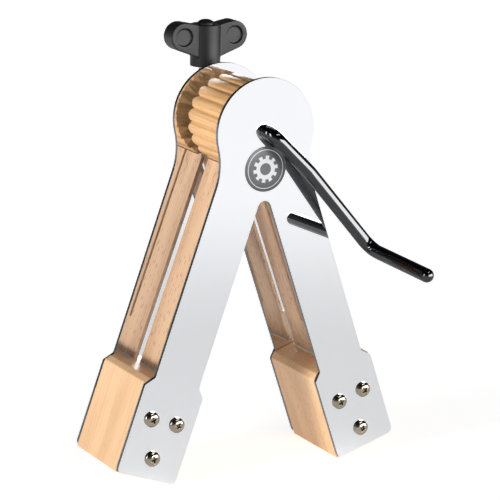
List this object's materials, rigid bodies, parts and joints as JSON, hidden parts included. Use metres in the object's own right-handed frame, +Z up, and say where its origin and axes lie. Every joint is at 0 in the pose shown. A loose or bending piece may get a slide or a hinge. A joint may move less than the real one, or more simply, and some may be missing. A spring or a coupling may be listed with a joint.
{
  "type": "hand-cranked wooden ratchet",
  "caption": "Wooden ratchet: a crank turns a toothed wheel past split wooden tongues between two mirror-polished plates, with a rod clamp and wing screw behind.",
  "frame": {"origin": "on the floor under the feet, midway between the crank's grip end and the clamp's back, on the plane of symmetry of the legs", "axes": "+Z up, +Y along the crank's shaft towards the rod clamp, +X to the right seen from the crank's side"},
  "size_m": [0.1814, 0.1642, 0.2533],
  "materials": {
    "polished_plate": "mirror polished stainless sheet",
    "beech_block": "satin lacquer, grain along the leg",
    "beech_tongue": "satin lacquer, fine dark flecks",
    "beech_wheel": "satin lacquer, grain along the axis",
    "black_chrome": "black chrome, polished",
    "nickel_screw": "bright nickel",
    "plain_steel": "zinc plated",
    "nylon": "natural nylon",
    "badge_print": "printed label, satin",
    "clamp_coat": "black powder coat",
    "black_plastic": "moulded, fine satin texture",
    "pad_brass": "turned"
  },
  "bodies": {
    "frame": {"front_plate": "polished_plate", "rear_plate": "polished_plate", "left_end_block": "beech_block", "right_end_block": "beech_block", "front_spacer": "nylon", "rear_spacer": "nylon", "badge": "badge_print", "clamp_body": "clamp_coat", "left_clamp_screw": "plain_steel", "right_clamp_screw": "plain_steel", "front_left_outer_screw": "nickel_screw", "front_left_inner_screw": "nickel_screw", "front_left_lower_screw": "nickel_screw", "front_right_outer_screw": "nickel_screw", "front_right_inner_screw": "nickel_screw", "front_right_lower_screw": "nickel_screw", "rear_left_outer_screw": "nickel_screw", "rear_left_inner_screw": "nickel_screw", "rear_left_lower_screw": "nickel_screw", "rear_right_outer_screw": "nickel_screw", "rear_right_inner_screw": "nickel_screw", "rear_right_lower_screw": "nickel_screw"},
    "rotor": {"crank_rod": "black_chrome", "toothed_wheel": "beech_wheel", "drive_pin": "plain_steel", "thrust_washer": "plain_steel", "retaining_clip": "plain_steel"},
    "tongue_on_left": {"left_tongue": "beech_tongue"},
    "tongue_on_right": {"right_tongue": "beech_tongue"},
    "pad_carrier": {"swivel_pad": "pad_brass"},
    "wing_screw": {"wing_handle": "black_plastic", "clamp_stud": "plain_steel", "handle_cap": "black_plastic"}
  },
  "joints": [
    {"name": "crank_turn", "type": "hinge", "parent": "frame", "child": "rotor", "pos_m": [0, 0.02435, 0.20045], "axis": [0, 1, 0], "continuous": true},
    {"name": "left_tongue_flex", "type": "hinge", "parent": "frame", "child": "tongue_on_left", "pos_m": [-0.05178, 0.02435, 0.05859], "axis": [0, 1, 0], "range_deg": [-1.5, 1.5], "stiffness_Nm_per_rad": 14},
    {"name": "right_tongue_flex", "type": "hinge", "parent": "frame", "child": "tongue_on_right", "pos_m": [0.05178, 0.02435, 0.05859], "axis": [0, 1, 0], "range_deg": [-1.5, 1.5], "stiffness_Nm_per_rad": 14},
    {"name": "pad_travel", "type": "slide", "parent": "frame", "child": "pad_carrier", "axis": [0, 0, 1], "range_m": [-0.00375, 0.005]},
    {"name": "wing_turn", "type": "hinge", "parent": "pad_carrier", "child": "wing_screw", "pos_m": [0, 0.0716, 0.24045], "axis": [0, 0, 1], "range_deg": [-1082, 1442]}
  ],
  "couplings": [
    {"joint": "wing_turn", "follows": "pad_travel", "rad_per_m": 5026.5}
  ]
}
